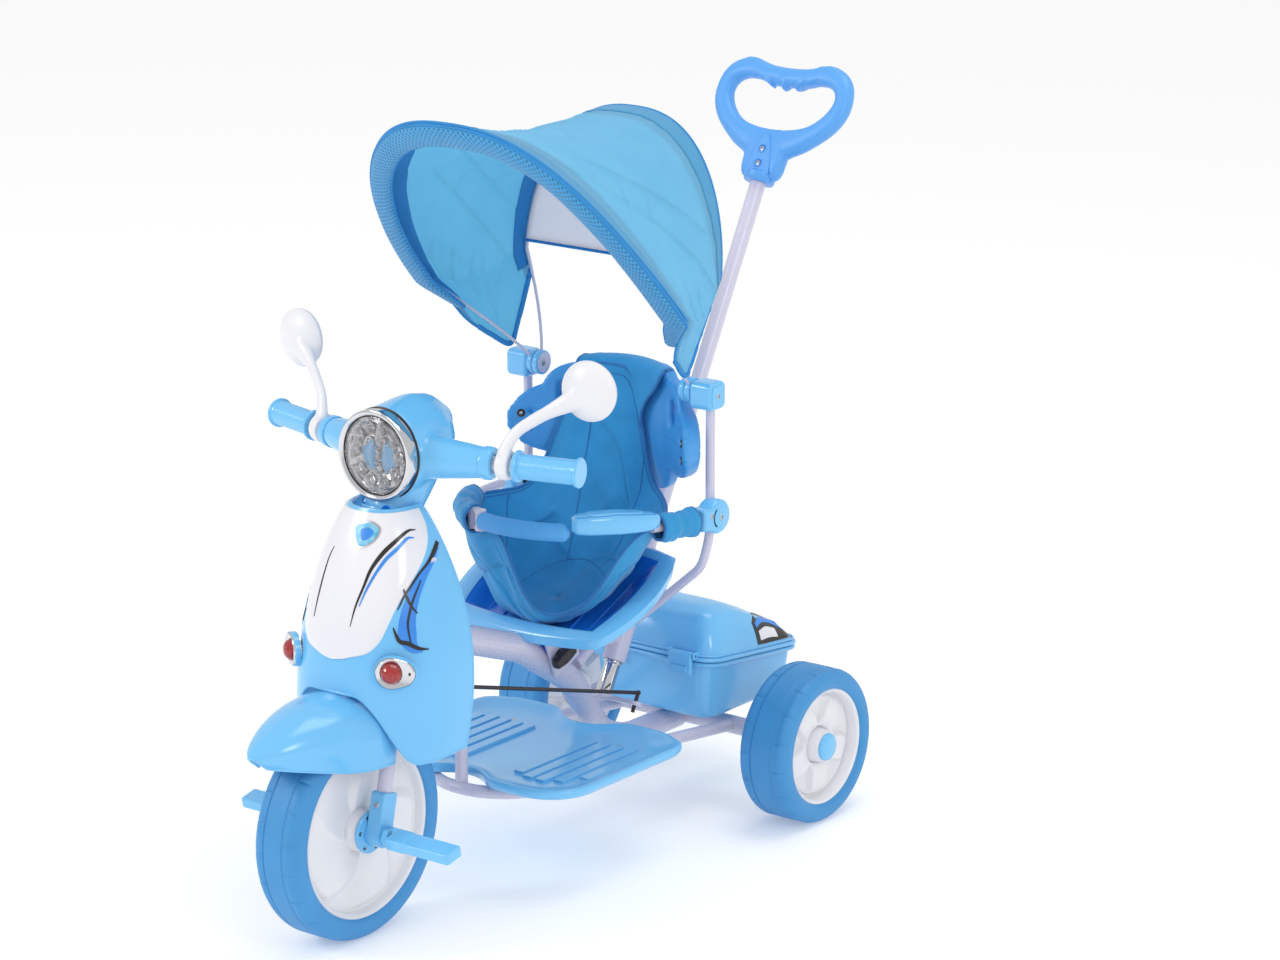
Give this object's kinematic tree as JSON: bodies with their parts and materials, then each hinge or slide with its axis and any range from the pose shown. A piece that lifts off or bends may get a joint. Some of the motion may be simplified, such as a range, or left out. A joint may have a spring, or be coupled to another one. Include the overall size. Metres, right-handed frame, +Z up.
{
  "type": "children's tricycle",
  "caption": "Children's push tricycle with scooter-style front, pedals on the front wheel, guard ring, folding sun canopy, storage box and steering push pole.",
  "frame": {"origin": "on the floor under the middle of the whole tricycle", "axes": "the front of the tricycle faces -Y, its left side faces +X, +Z is up"},
  "size_m": [0.52, 1.0842, 0.9512],
  "materials": {
    "frame_paint": "gloss white powder coat with a faint lavender cast",
    "pole_paint": "gloss white powder coat",
    "sky_plastic": "smooth moulded light blue",
    "deep_blue_plastic": "glossy bright blue",
    "seat_fabric": "woven polyester, teal blue",
    "canopy_fabric": "thin coated nylon, light blue, translucent",
    "black_plastic": "moulded black",
    "chrome": "bright plated",
    "axle_steel": "zinc plated",
    "tyre_foam": "matt foamed EVA, mid blue",
    "white_plastic": "smooth white",
    "red_lens": "clear red, moulded facets",
    "reflector": "vacuum metallised",
    "clear_lens": "clear polycarbonate",
    "guard_foam": "closed-cell foam tube, mid blue",
    "black_steel": "black"
  },
  "bodies": {
    "frame": {"spine": "frame_paint", "lower_loop": "frame_paint", "rear_axle_tube": "frame_paint", "pole_sleeve": "frame_paint", "back_leg_left": "frame_paint", "back_leg_right": "frame_paint", "seat_pan": "deep_blue_plastic", "backrest": "sky_plastic", "seat_cloth": "seat_fabric", "footrest": "sky_plastic", "storage_box": "sky_plastic", "hinge_pin": "axle_steel", "rear_axle": "axle_steel", "guard_block_left": "sky_plastic", "guard_block_right": "sky_plastic", "guard_arm_left": "frame_paint", "guard_arm_right": "frame_paint", "gate_clasp": "sky_plastic", "canopy_block_left": "sky_plastic", "canopy_block_right": "sky_plastic"},
    "steering": {"fork": "frame_paint", "dropout_left": "sky_plastic", "dropout_right": "sky_plastic", "mudguard": "sky_plastic", "shield": "sky_plastic", "shield_panel": "white_plastic", "lamp_bezels": "chrome", "lamp_lenses": "red_lens", "head_shell": "sky_plastic", "headlight_ring": "chrome", "headlight_reflector": "reflector", "headlight_lens": "clear_lens", "handlebar": "frame_paint", "grips": "sky_plastic"},
    "mirror_left": {"mirror_left": "white_plastic"},
    "mirror_right": {"mirror_right": "white_plastic"},
    "front_wheel": {"front_tyre": "tyre_foam", "front_rim": "white_plastic", "cranks": "sky_plastic"},
    "pedal_left": {"pedal_left": "sky_plastic"},
    "pedal_right": {"pedal_right": "sky_plastic"},
    "rear_wheel_left": {"rear_tyre_left": "tyre_foam", "rear_rim_left": "white_plastic", "hub_cap_left": "sky_plastic"},
    "rear_wheel_right": {"rear_tyre_right": "tyre_foam", "rear_rim_right": "white_plastic", "hub_cap_right": "sky_plastic"},
    "push_pole": {"push_pole": "pole_paint", "push_handle": "sky_plastic"},
    "steering_rod": {"steering_rod": "black_steel"},
    "box_lid": {"box_lid": "sky_plastic", "lid_badge": "chrome"},
    "box_latch_left": {"box_latch_left": "sky_plastic"},
    "box_latch_right": {"box_latch_right": "sky_plastic"},
    "guard_gate": {"guard_gate": "frame_paint", "gate_foam": "guard_foam"},
    "seat_knob": {"seat_knob": "black_plastic"},
    "rear_bow": {"rear_bow": "frame_paint", "canopy_cloth": "canopy_fabric"},
    "front_bow": {"front_bow": "frame_paint"}
  },
  "joints": [
    {"name": "steering_turn", "type": "hinge", "parent": "frame", "child": "steering", "pos_m": [0, -0.373, 0.135], "axis": [0, 0.2284, 0.9736], "range_deg": [-30, 30]},
    {"name": "front_wheel_spin", "type": "hinge", "parent": "steering", "child": "front_wheel", "pos_m": [0, -0.373, 0.135], "axis": [1, 0, 0], "continuous": true},
    {"name": "pedal_left_spin", "type": "hinge", "parent": "front_wheel", "child": "pedal_left", "pos_m": [0.154, -0.4165, 0.15529], "axis": [1, 0, 0], "continuous": true},
    {"name": "pedal_right_spin", "type": "hinge", "parent": "front_wheel", "child": "pedal_right", "pos_m": [-0.154, -0.3295, 0.11471], "axis": [1, 0, 0], "continuous": true},
    {"name": "mirror_left_tilt", "type": "hinge", "parent": "steering", "child": "mirror_left", "pos_m": [0, -0.282, 0.575], "axis": [0.967, 0.2548, 0], "range_deg": [-25, 25]},
    {"name": "mirror_right_tilt", "type": "hinge", "parent": "steering", "child": "mirror_right", "pos_m": [0, -0.282, 0.575], "axis": [-0.967, 0.2548, 0], "range_deg": [-25, 25]},
    {"name": "rear_wheel_left_spin", "type": "hinge", "parent": "frame", "child": "rear_wheel_left", "pos_m": [0.198, 0.29, 0.101], "axis": [1, 0, 0], "continuous": true},
    {"name": "rear_wheel_right_spin", "type": "hinge", "parent": "frame", "child": "rear_wheel_right", "pos_m": [-0.198, 0.29, 0.101], "axis": [1, 0, 0], "continuous": true},
    {"name": "push_pole_turn", "type": "hinge", "parent": "frame", "child": "push_pole", "pos_m": [0, 0.1254, 0.177], "axis": [0, 0.4756, 0.8796], "range_deg": [-30, 30]},
    {"name": "steering_rod_pivot", "type": "hinge", "parent": "push_pole", "child": "steering_rod", "pos_m": [0.052, 0.1254, 0.177], "axis": [0, 0.4756, 0.8796], "range_deg": [-30, 30]},
    {"name": "box_lid_hinge", "type": "hinge", "parent": "frame", "child": "box_lid", "pos_m": [0, 0.423, 0.18303], "axis": [1, 0, 0], "range_deg": [-75, 0]},
    {"name": "box_latch_left_hinge", "type": "hinge", "parent": "box_lid", "child": "box_latch_left", "pos_m": [0.06, 0.209, 0.214], "axis": [1, 0, 0], "range_deg": [-80, 0]},
    {"name": "box_latch_right_hinge", "type": "hinge", "parent": "box_lid", "child": "box_latch_right", "pos_m": [-0.06, 0.209, 0.214], "axis": [1, 0, 0], "range_deg": [-80, 0]},
    {"name": "guard_gate_hinge", "type": "hinge", "parent": "frame", "child": "guard_gate", "pos_m": [-0.03882, -0.0733, 0.43859], "axis": [0, 0, 1], "range_deg": [-90, 0]},
    {"name": "seat_knob_turn", "type": "hinge", "parent": "frame", "child": "seat_knob", "pos_m": [0.0264, 0.004, 0.256], "axis": [1, 0, 0], "range_deg": [-90, 90]},
    {"name": "canopy_tilt", "type": "hinge", "parent": "frame", "child": "rear_bow", "pos_m": [0, 0.144, 0.585], "axis": [1, 0, 0], "range_deg": [-20, 10]},
    {"name": "front_bow_fold", "type": "hinge", "parent": "rear_bow", "child": "front_bow", "pos_m": [0, 0.144, 0.585], "axis": [1, 0, 0], "range_deg": [-30, 8], "deforming": ["canopy_cloth"]}
  ],
  "couplings": [
    {"joint": "push_pole_turn", "follows": "steering_turn", "ratio": 1},
    {"joint": "steering_rod_pivot", "follows": "steering_turn", "ratio": -1}
  ]
}
